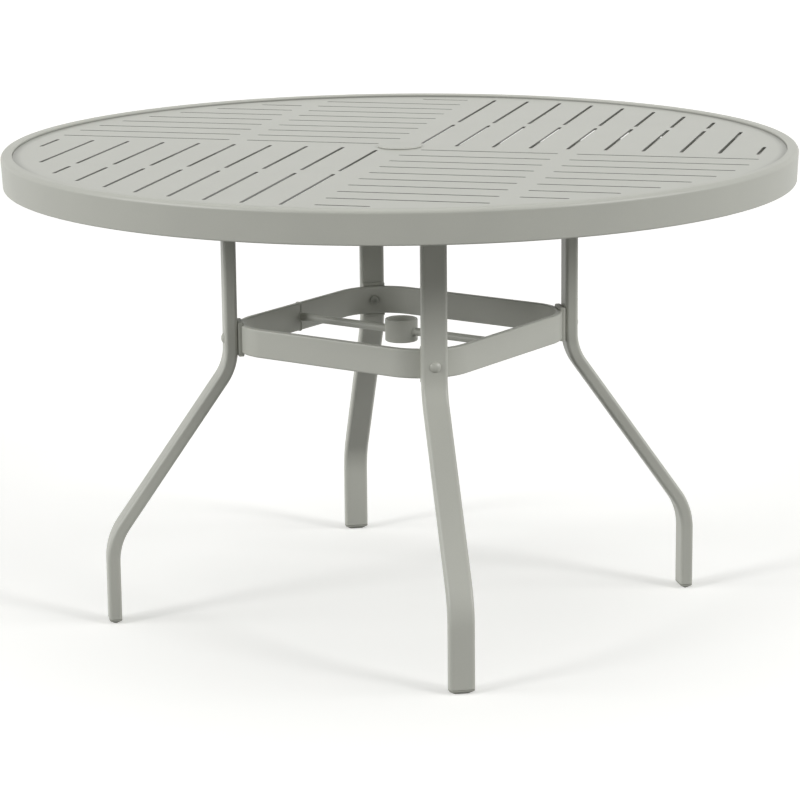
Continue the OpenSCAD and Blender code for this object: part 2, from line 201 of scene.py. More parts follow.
# The tone, from 0 to 1, of painted shade where little light reaches: on the walls of cuts,
# beside the step at the rim where the rim's shadow falls on the sheet, and on the rim's own
# inner wall. A face counts as a wall below the first tilt and as flat above the second. Places are
# radii and heights in mm.
paintedShadeSizes = {"cutWall": 0.3, "wallTilt": 0.3, "flatTilt": 0.8,
             "besideStep": 0.72, "stepFrom": 578.0, "stepTo": 591.8,
             "rimWall": 0.42, "wallInside": 594.5, "wallLow": 732.1, "wallHigh": 736.0,
             "blend": 1.0}
# What all the coated and moulded finishes share: how the noise is cut off, how far it moves
# the tone and the roughness, and how strongly it dents the surface
finishSizes = {"noiseLow": 0.3, "noiseHigh": 0.7, "toneSpread": 0.015, "roughSpread": 0.04,
               "mottleDetail": 3.0, "grainDetail": 2.0, "dent": 0.35, "specular": 0.5}


# Turns a value that goes from start to end into one that goes from atStart to atEnd
def ramp(tree, value, start, end, atStart, atEnd):
    return addNode(tree, "ShaderNodeMapRange", {"From Min": start, "From Max": end,
                                                "To Min": atStart, "To Max": atEnd},
                   {"Value": value}).outputs["Result"]


def axisDistance(tree, where):
    flat = addNode(tree, "ShaderNodeVectorMath", {"operation": "MULTIPLY", 1: (1, 1, 0)},
                   {0: where})
    return addNode(tree, "ShaderNodeVectorMath", {"operation": "LENGTH"},
                   {0: flat.outputs["Vector"]}).outputs["Value"]


# Painted shade on the sheet: its upright cut walls are darkened, and so is a band beside the rim's
# step where the rim's shadow falls
def sheetPaintedShade(tree, where):
    s = paintedShadeSizes
    facing = addNode(tree, "ShaderNodeSeparateXYZ",
                     links={0: addNode(tree, "ShaderNodeNewGeometry").outputs["Normal"]})
    upright = addNode(tree, "ShaderNodeMath", {"operation": "ABSOLUTE"}, {0: facing.outputs["Z"]})
    cuts = ramp(tree, upright.outputs[0], s["wallTilt"], s["flatTilt"], s["cutWall"], 1.0)
    step = ramp(tree, axisDistance(tree, where), s["stepFrom"] * mm, s["stepTo"] * mm, 1.0,
                s["besideStep"])
    return addNode(tree, "ShaderNodeMath", {"operation": "MULTIPLY"}, {0: cuts, 1: step}).outputs[0]


# Painted shade on the rim's inner wall above the sheet, left off outside that wall and below it
def rimPaintedShade(tree, where):
    s = paintedShadeSizes
    height = addNode(tree, "ShaderNodeSeparateXYZ", links={0: where}).outputs["Z"]
    wall = ramp(tree, height, s["wallLow"] * mm, s["wallHigh"] * mm, s["rimWall"], 1.0)
    outside = ramp(tree, axisDistance(tree, where), s["wallInside"] * mm,
                   (s["wallInside"] + s["blend"]) * mm, 0.0, 1.0)
    below = ramp(tree, height, (s["wallLow"] - 2 * s["blend"]) * mm,
                 (s["wallLow"] - s["blend"]) * mm, 1.0, 0.0)
    unshaded = addNode(tree, "ShaderNodeMath", {"operation": "MAXIMUM"}, {0: outside, 1: below})
    return addNode(tree, "ShaderNodeMath", {"operation": "MAXIMUM"},
                   {0: wall, 1: unshaded.outputs[0]}).outputs[0]


# A finish between two near colours. Grain and mottle are sizes in mm, peel is the depth of
# the grain in mm, and the shade function, if given, darkens the tone to paint shade where little
# light reaches.
def grainedFinish(name, colour, grain, mottle, roughness, peel, metallic=0.0, shadePainter=None):
    s = finishSizes
    material = bpy.data.materials.new(name)
    material.use_nodes = True
    tree = material.node_tree
    tree.nodes.clear()
    where = addNode(tree, "ShaderNodeTexCoord").outputs["Object"]
    broad = addNode(tree, "ShaderNodeTexNoise",
                    {"Scale": 1000 / mottle, "Detail": s["mottleDetail"]}, {"Vector": where})
    fine = addNode(tree, "ShaderNodeTexNoise",
                   {"Scale": 1000 / grain, "Detail": s["grainDetail"]}, {"Vector": where})
    tint = addNode(tree, "ShaderNodeMix", {"data_type": "RGBA", 6: toLinear(colour[0]),
                                           7: toLinear(colour[1])},
                   {0: broad.outputs["Fac"]})
    tone = ramp(tree, fine.outputs["Fac"], s["noiseLow"], s["noiseHigh"],
                1 - s["toneSpread"], 1 + s["toneSpread"])
    # Painted shade: the tone is darkened where the shade function says
    if shadePainter:
        tone = addNode(tree, "ShaderNodeMath", {"operation": "MULTIPLY"},
                       {0: tone, 1: shadePainter(tree, where)}).outputs[0]
    shade = addNode(tree, "ShaderNodeVectorMath", {"operation": "SCALE"},
                    {0: tint.outputs[2], "Scale": tone})
    gloss = ramp(tree, fine.outputs["Fac"], s["noiseLow"], s["noiseHigh"],
                 roughness - s["roughSpread"], roughness + s["roughSpread"])
    bump = addNode(tree, "ShaderNodeBump", {"Strength": s["dent"], "Distance": peel * mm},
                   {"Height": fine.outputs["Fac"]})
    surface = addNode(tree, "ShaderNodeBsdfPrincipled",
                      {"Metallic": metallic, "Specular IOR Level": s["specular"]},
                      {"Base Color": shade.outputs["Vector"], "Roughness": gloss,
                       "Normal": bump.outputs["Normal"]})
    addNode(tree, "ShaderNodeOutputMaterial", links={"Surface": surface.outputs["BSDF"]})
    return material


# Sprayed and baked polyester powder: satin, with a fine orange peel that breaks up highlights
powderCoat = grainedFinish("satinPowderCoatedAluminium", ("#b3b4ac", "#babbb2"),
                           grain=1.3, mottle=90, roughness=0.44, peel=0.05)
# The same powder on the rolled rim, with painted shade: a dark line on the inner wall of the step
# down to the sheet
rimCoat = grainedFinish("satinPowderCoatedRim", ("#b3b4ac", "#babbb2"),
                        grain=1.3, mottle=90, roughness=0.44, peel=0.05, shadePainter=rimPaintedShade)
# The same powder on the flat sheet, which takes it a little thicker and smoother, with painted
# shade that darkens the walls of the slots and a band beside the rim's step
sheetCoat = grainedFinish("powderCoatedSlottedSheet", ("#b6b7af", "#bdbeb6"),
                          grain=1.6, mottle=120, roughness=0.42, peel=0.04, shadePainter=sheetPaintedShade)
# Injection-moulded ABS with a fine spark-eroded grain: duller than the paint
plugPlastic = grainedFinish("mouldedAbsPlug", ("#babbb4", "#bfc0b8"),
                            grain=0.7, mottle=40, roughness=0.5, peel=0.03)
# Moulded nylon glides, a shade darker, with a waxy surface
glideNylon = grainedFinish("mouldedNylonGlide", ("#a2a39a", "#aaaba2"),
                           grain=0.9, mottle=30, roughness=0.55, peel=0.04)
# Moulded nylon spacers in the frame's own colour
saddleNylon = grainedFinish("mouldedNylonSaddle", ("#adaea5", "#b4b5ac"),
                            grain=0.9, mottle=30, roughness=0.5, peel=0.04)
# Bolt heads dipped in satin enamel: smoother than powder and a little glossier
boltEnamel = grainedFinish("enamelledSteelBolt", ("#b3b4ab", "#b9bab1"),
                           grain=1.0, mottle=25, roughness=0.36, peel=0.02)
# The same enamel on the cap nuts, painted darker as painted shade for the shadow round them on the
# ring's inner face
shadedNutEnamel = grainedFinish("enamelledSteelCapNut", ("#94958c", "#9d9e95"),
                          grain=1.0, mottle=25, roughness=0.36, peel=0.02)
# Bright zinc plate on steel screws, with faint clouds in it
zincPlate = grainedFinish("brightZincPlatedSteel", ("#b9bcc0", "#c6c8c6"),
                          grain=0.5, mottle=6, roughness=0.32, peel=0.01, metallic=1.0)
print("materials made")


# Rim: one closed section turned about the table's axis

rimSizes = {"radius": 609.6, "top": 736.6, "height": 50.8, "width": 17.5, "lean": 2.0,
            "round": 7.0, "edge": 2.5, "ledge": 12.0, "ledgeThick": 2.5, "ledgeEdge": 0.6,
            "sheetBottom": 728.9, "segments": 480}


def makeRim():
    s = rimSizes
    inside = s["radius"] - s["width"]
    bottom = s["top"] - s["height"]
    foot = s["radius"] - s["lean"]
    ledgeTip = inside - s["ledge"]
    ledgeLow = s["sheetBottom"] - s["ledgeThick"]
    e, soft = s["edge"], s["ledgeEdge"]
    profile = arc((s["radius"] - s["round"], s["top"] - s["round"]), s["round"], 90, 0, 12)
    profile += arc((foot - e, bottom + e), e, 0, -90, 6)
    profile += arc((inside + e, bottom + e), e, -90, -180, 6)
    profile += [(inside, ledgeLow)]
    profile += arc((ledgeTip + soft, ledgeLow + soft), soft, -90, -180, 3)
    profile += arc((ledgeTip + soft, s["sheetBottom"] - soft), soft, 180, 90, 3)
    profile += [(inside, s["sheetBottom"])]
    profile += arc((inside + e, s["top"] - e), e, 180, 90, 6)
    return lathe("rim", profile, s["segments"])


rim = makeRim()
shadeSmooth(rim)
finishPiece(rim, rimCoat, ["rim"])
print("rim made")


# Top sheet: slots in four fields, with edges that the paint has rounded. A row goes from its
# start, or clear of the plug in the first row, out to a round border at reach, and one bridge
# splits it. Turn is the whole pattern's turn in degrees.

sheetSizes = {"radius": 591.8, "top": 732.1, "thick": 3.2, "hole": 24.0, "soft": 0.25,
              "slotWidth": 5.5, "pitch": 58.2, "rows": 10, "first": 26.0, "start": 20.0,
              "clear": 40.0, "reach": 558.8, "bridgeFrom": 254.0, "bridge": 28.0,
              "turn": 20.3, "endSteps": 8, "rimPoints": 480, "holePoints": 72}


def slotSpans():
    s = sheetSizes
    spans = []
    for i in range(s["rows"]):
        row = s["first"] + i * s["pitch"]
        if row >= s["reach"]:
            continue
        end = math.sqrt(s["reach"] ** 2 - row ** 2)
        begin = s["clear"] if i == 0 else s["start"]
        if min(end, s["bridgeFrom"]) > begin + 2 * s["slotWidth"]:
            spans.append((begin, min(end, s["bridgeFrom"]), -row))
        if end > s["bridgeFrom"] + s["bridge"] + 2 * s["slotWidth"]:
            spans.append((s["bridgeFrom"] + s["bridge"], end, -row))
    return spans


def slotOutline(span, quarter, grow):
    s = sheetSizes
    begin, end, row = span
    half = s["slotWidth"] / 2
    turn = math.radians(s["turn"] + 90 * quarter)
    points = arc((end - half, row), half + grow, -90, 90, s["endSteps"])
    points += arc((begin + half, row), half + grow, 90, 270, s["endSteps"])
    return [(x * math.cos(turn) - y * math.sin(turn), x * math.sin(turn) + y * math.cos(turn))
            for x, y in points]


def circleOutline(radius, count):
    turns = [2 * math.pi * i / count for i in range(count)]
    return [(radius * math.cos(a), radius * math.sin(a)) for a in turns]


def makeSheet():
    s = sheetSizes
    outlines = [lambda grow: circleOutline(s["radius"] - grow, s["rimPoints"]),
                lambda grow: circleOutline(s["hole"] + grow, s["holePoints"])]
    for quarter in range(4):
        for span in slotSpans():
            outlines.append(lambda grow, span=span, quarter=quarter:
                            slotOutline(span, quarter, grow))
    # (outward step, depth) down the wall of a cut: a quarter round, the wall, a quarter round
    steps = [math.radians(a) for a in (0, 30, 60, 90)]
    wall = [(s["soft"] * (1 - math.sin(a)), s["soft"] * (1 - math.cos(a))) for a in steps]
    wall += [(step, s["thick"] - depth) for step, depth in reversed(wall)]
    verts, faces, topLoops, lowLoops = [], [], [], []
    for outline in outlines:
        rings = []
        for step, depth in wall:
            ring = []
            for x, y in outline(step):
                ring.append(len(verts))
                verts.append((x * mm, y * mm, (s["top"] - depth) * mm))
            rings.append(ring)
        for high, low in zip(rings, rings[1:]):
            count = len(high)
            faces += [(high[i], high[(i + 1) % count], low[(i + 1) % count], low[i])
                      for i in range(count)]
        topLoops.append(rings[0])
        lowLoops.append(rings[-1])
    for loops, flip in ((topLoops, False), (lowLoops, True)):
        flat = [index for loop in loops for index in loop]
        triangles = tessellate_polygon([[Vector((verts[i][0], verts[i][1], 0)) for i in loop]
                                        for loop in loops])
        for a, b, c in triangles:
            faces.append((flat[c], flat[b], flat[a]) if flip else (flat[a], flat[b], flat[c]))
    piece = newPiece("topSheet", verts, faces)
    closeSeams(piece)
    return piece


topSheet = makeSheet()
shadeSmooth(topSheet)
finishPiece(topSheet, sheetCoat, ["top_sheet"])
print("top sheet made:", 4 * len(slotSpans()), "slots")


# Plug and the sleeve under it

plugSizes = {"seat": 732.4, "radius": 33.5, "thick": 2.5, "skirt": 12.5, "skirtRadius": 23.7,
             "wall": 2.4, "edge": 1.25, "dish": 0.35, "dishFloor": 0.55, "dishMouth": 0.72,
             "neck": 0.5, "skirtEdge": 0.8, "innerEdge": 0.6}   # dishFloor, dishMouth: of radius


def makePlug():
    s = plugSizes
    top = s["seat"] + s["thick"]
    inner = s["skirtRadius"] - s["wall"]
    low = s["seat"] - s["skirt"]
    e = s["skirtEdge"]
    profile = [(0, top - s["dish"]), (s["radius"] * s["dishFloor"], top - s["dish"]),
               (s["radius"] * s["dishMouth"], top)]
    profile += arc((s["radius"] - s["edge"], top - s["edge"]), s["edge"], 90, -90, 10)
    profile += [(s["skirtRadius"] + s["neck"], s["seat"]),
                (s["skirtRadius"], s["seat"] - s["neck"])]
    profile += arc((s["skirtRadius"] - e, low + e), e, 0, -90, 4)
    profile += [(inner, low), (inner, s["seat"] - s["innerEdge"]),
                (inner - s["innerEdge"], s["seat"]), (0, s["seat"])]
    return lathe("holePlug", profile, 120, closed=False)


plug = makePlug()
shadeSmooth(plug)
finishPiece(plug, plugPlastic, ["hole_plug"], body="plug")

hubSizes = {"radius": 36.0, "bore": 22.25, "seatRadius": 24.0, "low": 698.9, "high": 728.9,
            "seat": 717.9, "edge": 1.0, "seatEdge": 0.4}


def makeHub():
    s = hubSizes
    e = s["edge"]
    profile = [(s["radius"], s["high"])]
    profile += arc((s["radius"] - e, s["low"] + e), e, 0, -90, 4)
    profile += arc((s["bore"] + e, s["low"] + e), e, -90, -180, 4)
    profile += [(s["bore"], s["seat"] - s["seatEdge"]), (s["bore"] + s["seatEdge"], s["seat"]),
                (s["seatRadius"], s["seat"]), (s["seatRadius"], s["high"])]
    return lathe("hubSleeve", profile, 96)


hub = makeHub()
shadeSmooth(hub)
finishPiece(hub, powderCoat, ["hub_sleeve"])
print("plug and hub sleeve made")


# Legs: a rounded tube section swept down a path with two bends

legSizes = {"Top Radius": 269.0, "Foot Radius": 460.0, "Top Height": 699.9,
            "Knee Height": 403.0, "Ankle Height": 132.0, "Foot Height": 8.0,
            "Knee Bend": 85.0, "Ankle Bend": 100.0, "Tube Thickness": 20.0,
            "Tube Width": 38.5, "Tube Edge": 5.5}
legSteps = {"bend": 28, "edge": 8}


def makeLegTree():
    tree, given = startTree("bentLeg", list(legSizes) + ["Turn"])
    line = addNode(tree, "GeometryNodeMeshLine", {"Count": 4})
    index = addNode(tree, "GeometryNodeInputIndex").outputs[0]
    place = addNode(tree, "GeometryNodeIndexSwitch", {"data_type": "VECTOR"}, {"Index": index})
    bend = addNode(tree, "GeometryNodeIndexSwitch", {"data_type": "FLOAT"}, {"Index": index})
    for switch in (place, bend):
        switch.index_switch_items.new()
        switch.index_switch_items.new()
    corners = [("Top Radius", "Top Height"), ("Top Radius", "Knee Height"),
               ("Foot Radius", "Ankle Height"), ("Foot Radius", "Foot Height")]
    for i, (out, height) in enumerate(corners):
        corner = addNode(tree, "ShaderNodeCombineXYZ", links={"X": given[out], "Z": given[height]})
        tree.links.new(corner.outputs[0], place.inputs[i + 1])
    tree.links.new(given["Knee Bend"], bend.inputs[2])
    tree.links.new(given["Ankle Bend"], bend.inputs[3])
    bent = addNode(tree, "GeometryNodeSetPosition",
                   links={"Geometry": line.outputs[0], "Position": place.outputs[0]})
    path = addNode(tree, "GeometryNodeMeshToCurve", links={"Mesh": bent.outputs[0]})
    rounded = addNode(tree, "GeometryNodeFilletCurve",
                      {"mode": "POLY", "Count": legSteps["bend"]},
                      {"Curve": path.outputs[0], "Radius": bend.outputs[0]})
    steady = addNode(tree, "GeometryNodeSetCurveNormal", {"mode": "FREE", "Normal": (0, 1, 0)},
                     {"Curve": rounded.outputs[0]})
    box = addNode(tree, "GeometryNodeCurvePrimitiveQuadrilateral",
                  links={"Width": given["Tube Width"], "Height": given["Tube Thickness"]})
    section = addNode(tree, "GeometryNodeFilletCurve",
                      {"mode": "POLY", "Count": legSteps["edge"]},
                      {"Curve": box.outputs[0], "Radius": given["Tube Edge"]})
    tube = addNode(tree, "GeometryNodeCurveToMesh", {"Fill Caps": True},
                   {"Curve": steady.outputs[0], "Profile Curve": section.outputs[0]})
    around = addNode(tree, "ShaderNodeCombineXYZ", links={"Z": given["Turn"]})
    turned = addNode(tree, "GeometryNodeTransform",
                     links={"Geometry": tube.outputs[0], "Rotation": around.outputs[0]})
    endTree(tree, given, turned.outputs[0])
    return tree


legTree = makeLegTree()
for name, angle in zip(legNames, legAngles):
    sizes = {label: value * mm for label, value in legSizes.items()}
    leg = runTree(name + "Leg", legTree, {**sizes, "Turn": angle}, powderCoat)
    shadeSmooth(leg)
    finishPiece(leg, powderCoat, [name + "_leg"])
print("legs made")


# Glides: a moulded cap below the tube's end, with a fine groove at the joint, ends cut off
# at a slant, and a stem that goes up into the tube

glideSizes = {"edgeLoss": 0.6, "leastEdge": 2.0, "edgeSteps": 6, "sharpAngle": 25,
              "rings": [(0.0, 7.9), (0.5, 7.3), (4.8, 0.5), (5.6, 0.0), (6.9, 0.0), (7.1, 0.2),
                        (7.15, 1.8), (8.01, 2.3), (29.2, 2.3), (30.0, 3.0)]}   # (height, inset)


def makeGlide(name, angle):
    s = glideSizes
    verts, faces, rings = [], [], []
    for height, inset in s["rings"]:
        halfX = legSizes["Tube Thickness"] / 2 - inset
        halfY = legSizes["Tube Width"] / 2 - inset
        edge = max(legSizes["Tube Edge"] - inset * s["edgeLoss"], s["leastEdge"])
        points = []
        for turn, x, y in ((0, 1, 1), (90, -1, 1), (180, -1, -1), (270, 1, -1)):
            points += arc((x * (halfX - edge), y * (halfY - edge)), edge, turn, turn + 90,
                          s["edgeSteps"])
        rings.append(range(len(verts), len(verts) + len(points)))
        verts += [((legSizes["Foot Radius"] + x) * mm, y * mm, height * mm) for x, y in points]
    for low, high in zip(rings, rings[1:]):
        count = len(low)
        faces += [(low[i], low[(i + 1) % count], high[(i + 1) % count], high[i])
                  for i in range(count)]
    faces += [tuple(reversed(rings[0])), tuple(rings[-1])]
    piece = newPiece(name, verts, faces)
    piece.data.transform(Matrix.Rotation(angle, 4, "Z"))
    closeSeams(piece)
    shadeSmooth(piece, s["sharpAngle"])
    return piece


for name, angle in zip(legNames, legAngles):
    finishPiece(makeGlide(name + "Glide", angle), glideNylon, [name + "_glide"])
print("glides made")


# Brace ring: a flat tube with round edges, bent to a square with four large corners

ringSizes = {"Side": 398.66, "Corner": 77.0, "Tube Thickness": 10.0, "Tube Height": 44.5,
             "Tube Edge": 3.0, "Height": 444.5}
ringSteps = {"corner": 32, "edge": 6}


def makeRingTree():
    tree, given = startTree("braceRing", list(ringSizes))
    square = addNode(tree, "GeometryNodeCurvePrimitiveQuadrilateral",
                     links={"Width": given["Side"], "Height": given["Side"]})
    path = addNode(tree, "GeometryNodeFilletCurve",
                   {"mode": "POLY", "Count": ringSteps["corner"]},
                   {"Curve": square.outputs[0], "Radius": given["Corner"]})
    box = addNode(tree, "GeometryNodeCurvePrimitiveQuadrilateral",
                  links={"Width": given["Tube Thickness"], "Height": given["Tube Height"]})
    section = addNode(tree, "GeometryNodeFilletCurve",
                      {"mode": "POLY", "Count": ringSteps["edge"]},
                      {"Curve": box.outputs[0], "Radius": given["Tube Edge"]})
    tube = addNode(tree, "GeometryNodeCurveToMesh",
                   links={"Curve": path.outputs[0], "Profile Curve": section.outputs[0]})
    up = addNode(tree, "ShaderNodeCombineXYZ", links={"Z": given["Height"]})
    lifted = addNode(tree, "GeometryNodeTransform",
                     links={"Geometry": tube.outputs[0], "Translation": up.outputs[0]})
    endTree(tree, given, lifted.outputs[0])
    return tree


ring = runTree("braceRing", makeRingTree(),
               {label: value * mm for label, value in ringSizes.items()}, powderCoat)
shadeSmooth(ring)
finishPiece(ring, powderCoat, ["brace_ring"])
print("brace ring made")


# Collar: a short pipe whose mouth the paint has rounded

collarSizes = {"radius": 25.5, "bore": 21.0, "low": 428.0, "high": 463.0, "edge": 1.8}


def makeCollar():
    s = collarSizes
    e = s["edge"]
    profile = arc((s["radius"] - e, s["high"] - e), e, 90, 0, 6)
    profile += arc((s["radius"] - e, s["low"] + e), e, 0, -90, 6)
    profile += arc((s["bore"] + e, s["low"] + e), e, -90, -180, 6)
    profile += arc((s["bore"] + e, s["high"] - e), e, 180, 90, 6)
    return lathe("umbrellaCollar", profile, 96)


collar = makeCollar()
shadeSmooth(collar)
finishPiece(collar, powderCoat, ["umbrella_collar"])


# Weld beads: a rippled round bead along a rounded rectangle. Wrap is 1 where the rectangle
# follows a round wall about the axis, and 0 where it lies on a flat face.

weldSizes = {"pitch": 2.6, "ripple": 0.16, "step": 0.7, "cornerSteps": 10, "beadSides": 12,
             "rodHole": 12.7, "rodCorner": 6.34, "collarWall": 25.7, "collarBead": 1.5,
             "ringWall": 194.2, "ringBead": 1.6, "seamOut": 199.3, "seamBead": 1.5,
             "railWidth": 40.0, "railHeight": 25.0, "railCorner": 3.0, "railMiddle": 716.4,
             "hubWall": 36.4, "hubBead": 1.6, "legTop": 699.5, "legBead": 1.9,
             "sharpAngle": 80}


def makeBeadTree():
    tree, given = startTree("weldBead", ["Width", "Height", "Corner", "Wall Radius", "Wrap",
                                         "Bead", "Pitch", "Ripple"])
    box = addNode(tree, "GeometryNodeCurvePrimitiveQuadrilateral",
                  links={"Width": given["Width"], "Height": given["Height"]})
    path = addNode(tree, "GeometryNodeFilletCurve",
                   {"mode": "POLY", "Count": weldSizes["cornerSteps"]},
                   {"Curve": box.outputs[0], "Radius": given["Corner"]})
    even = addNode(tree, "GeometryNodeResampleCurve",
                   {"mode": "LENGTH", "Length": weldSizes["step"] * mm},
                   {"Curve": path.outputs[0]})
    here = addNode(tree, "ShaderNodeSeparateXYZ",
                   links={0: addNode(tree, "GeometryNodeInputPosition").outputs[0]})
    side = addNode(tree, "ShaderNodeMath", {"operation": "MULTIPLY"},
                   {0: here.outputs["X"], 1: given["Wrap"]})
    sideSquared = addNode(tree, "ShaderNodeMath", {"operation": "MULTIPLY"},
                          {0: side.outputs[0], 1: side.outputs[0]})
    wallSquared = addNode(tree, "ShaderNodeMath", {"operation": "MULTIPLY"},
                          {0: given["Wall Radius"], 1: given["Wall Radius"]})
    depthSquared = addNode(tree, "ShaderNodeMath", {"operation": "SUBTRACT"},
                           {0: wallSquared.outputs[0], 1: sideSquared.outputs[0]})
    depth = addNode(tree, "ShaderNodeMath", {"operation": "SQRT"}, {0: depthSquared.outputs[0]})
    onWall = addNode(tree, "ShaderNodeCombineXYZ", links={"X": depth.outputs[0],
                                                          "Y": here.outputs["X"],
                                                          "Z": here.outputs["Y"]})
    wrapped = addNode(tree, "GeometryNodeSetPosition",
                      links={"Geometry": even.outputs[0], "Position": onWall.outputs[0]})
    along = addNode(tree, "GeometryNodeSplineParameter").outputs["Length"]
    cycles = addNode(tree, "ShaderNodeMath", {"operation": "DIVIDE"}, {0: along, 1: given["Pitch"]})
    phase = addNode(tree, "ShaderNodeMath", {"operation": "MULTIPLY", 1: 2 * math.pi},
                    {0: cycles.outputs[0]})
    wave = addNode(tree, "ShaderNodeMath", {"operation": "SINE"}, {0: phase.outputs[0]})
    swell = addNode(tree, "ShaderNodeMath", {"operation": "MULTIPLY_ADD", 2: 1.0},
                    {0: wave.outputs[0], 1: given["Ripple"]})
    rippled = addNode(tree, "GeometryNodeSetCurveRadius",
                      links={"Curve": wrapped.outputs[0], "Radius": swell.outputs[0]})
    circle = addNode(tree, "GeometryNodeCurvePrimitiveCircle",
                     {"Resolution": weldSizes["beadSides"]}, {"Radius": given["Bead"]})
    bead = addNode(tree, "GeometryNodeCurveToMesh",
                   links={"Curve": rippled.outputs[0], "Profile Curve": circle.outputs[0]})
    endTree(tree, given, bead.outputs[0])
    return tree


beadTree = makeBeadTree()


def weldBead(name, size, corner, bead, place, wall=0.0, wrap=1.0):
    sizes = {"Width": size[0] * mm, "Height": size[1] * mm, "Corner": corner * mm,
             "Wall Radius": wall * mm, "Wrap": wrap, "Bead": bead * mm,
             "Pitch": weldSizes["pitch"] * mm, "Ripple": weldSizes["ripple"]}
    piece = runTree(name, beadTree, sizes, powderCoat)
    piece.data.transform(place)
    shadeSmooth(piece, weldSizes["sharpAngle"])
    return finishPiece(piece, powderCoat)


def makeWelds():
    s = weldSizes
    brace = Matrix.Translation((0, 0, ringSizes["Height"] * mm))
    rod = (s["rodHole"], s["rodHole"])
    for name, turn in (("FarSide", 0.0), ("SeamSide", math.pi)):
        place = brace @ Matrix.Rotation(turn, 4, "Z")
        weldBead("collarWeld" + name, rod, s["rodCorner"], s["collarBead"], place,
                 wall=s["collarWall"])
        weldBead("ringWeld" + name, rod, s["rodCorner"], s["ringBead"], place,
                 wall=s["ringWall"], wrap=0.0)
    seamPlace = brace @ Matrix.Rotation(math.pi, 4, "Z") \
        @ Matrix.Translation((s["seamOut"] * mm, 0, 0)) @ Matrix.Rotation(math.pi / 2, 4, "Z")
    weldBead("ringSeam", (ringSizes["Tube Thickness"], ringSizes["Tube Height"]),
             ringSizes["Tube Edge"], s["seamBead"], seamPlace, wrap=0.0)
    rail = Matrix.Translation((0, 0, s["railMiddle"] * mm))
    legTop = Matrix.Translation((legSizes["Top Radius"] * mm, 0, s["legTop"] * mm)) \
        @ Matrix.Rotation(math.pi / 2, 4, "Y")
    for name, angle in zip(legNames, legAngles):
        spin = Matrix.Rotation(angle, 4, "Z")
        weldBead(name + "RailHubWeld", (s["railWidth"], s["railHeight"]), s["railCorner"],
                 s["hubBead"], rail @ spin, wall=s["hubWall"])
        weldBead(name + "LegTopWeld", (legSizes["Tube Width"], legSizes["Tube Thickness"]),
                 legSizes["Tube Edge"], s["legBead"], spin @ legTop, wrap=0.0)


makeWelds()
print("weld beads made")


# Bolts, cap nuts and plate screws: one of each is turned, then set round the table

def makePatternTree():
    tree, given = startTree("setRoundTable", ["Count", "First Turn"])
    index = addNode(tree, "GeometryNodeInputIndex").outputs[0]
    step = addNode(tree, "ShaderNodeMath", {"operation": "DIVIDE", 0: 2 * math.pi},
                   {1: given["Count"]})
    turn = addNode(tree, "ShaderNodeMath", {"operation": "MULTIPLY_ADD"},
                   {0: index, 1: step.outputs[0], 2: given["First Turn"]})
    around = addNode(tree, "ShaderNodeCombineXYZ", links={"Z": turn.outputs[0]})
    middle = addNode(tree, "GeometryNodePoints", links={"Count": given["Count"]})
    copies = addNode(tree, "GeometryNodeInstanceOnPoints",
                     links={"Points": middle.outputs[0], "Instance": given["Geometry"],
                            "Rotation": around.outputs[0]})
    endTree(tree, given, copies.outputs[0])
    return tree


patternTree = makePatternTree()
fastenerSizes = {"segments": 48, "sharpAngle": 42,
                 "boltFace": 279.0, "headRadius": 8.25, "headHeight": 4.0, "headEdge": 0.7,
                 "shank": 4.0, "boltEnd": 245.5, "boltBevel": 0.8,
                 "nutFace": 244.58, "nutRadius": 7.75, "nutThick": 3.5, "nutEdge": 1.2,
                 "nutSocket": 2.5, "socketFlare": 0.75, "flareDepth": 0.4, "socketFloor": 0.4,
                 "sleeveRadius": 5.5, "sleeve": 8.1, "threadGap": 0.15, "threadEnd": 0.8,
                 "screwRadius": 3.0, "screwHead": 6.0, "screwHeadHeight": 4.0,
                 "screwHeadEdge": 0.6, "screwSocket": 2.0, "screwLand": 0.8,
                 "screwFlare": 0.5, "screwFlareDepth": 0.2, "screwBevel": 0.6,
                 "screwTop": 710.9, "screwSeat": 699.9, "screwSpan": 42.0}


# Lays a piece that was turned about Z along X, so that its +Z points inwards
def layInwards(piece, radius, height):
    lie = Matrix.Rotation(-math.pi / 2, 4, "Y")
    piece.data.transform(Matrix.Translation((radius * mm, 0, height * mm)) @ lie)
    return piece


# A low dome that hangs below height 0, from its crown out to where its edge begins
def domeProfile(radius, height, edge, steps):
    ball = (radius ** 2 + (height - edge) ** 2) / (2 * (height - edge))
    reach = math.degrees(math.asin(radius / ball))
    return [(x, -y) for x, y in arc((0, height - ball), ball, 90, 90 - reach, steps)]


def makeBolt():
    s = fastenerSizes
    head = domeProfile(s["headRadius"], s["headHeight"], s["headEdge"], 12)
    head[0] = (0, -s["headHeight"])
    end = s["boltFace"] - s["boltEnd"]
    profile = head + [(s["headRadius"], 0), (s["shank"], 0), (s["shank"], end - s["boltBevel"]),
                      (s["shank"] - s["boltBevel"], end), (0, end)]
    bolt = lathe("ringBolt", profile, s["segments"], closed=False)
    return layInwards(bolt, s["boltFace"], ringSizes["Height"])


def makeNut():
    s = fastenerSizes
    e, face = s["nutEdge"], s["nutThick"]
    bore = s["shank"] + s["threadGap"]
    floor = face * s["socketFloor"]
    profile = [(0, s["threadEnd"]), (bore, s["threadEnd"]), (bore, -s["sleeve"]),
               (s["sleeveRadius"], -s["sleeve"]), (s["sleeveRadius"], 0), (s["nutRadius"], 0)]
    profile += arc((s["nutRadius"] - e, face - e), e, 0, 90, 5)
    profile += [(s["nutSocket"] + s["socketFlare"], face),
                (s["nutSocket"], face - s["flareDepth"], "hex"),
                (s["nutSocket"], floor, "hex"), (0, floor)]
    nut = lathe("capNut", profile, s["segments"], closed=False)
    return layInwards(nut, s["nutFace"], ringSizes["Height"])


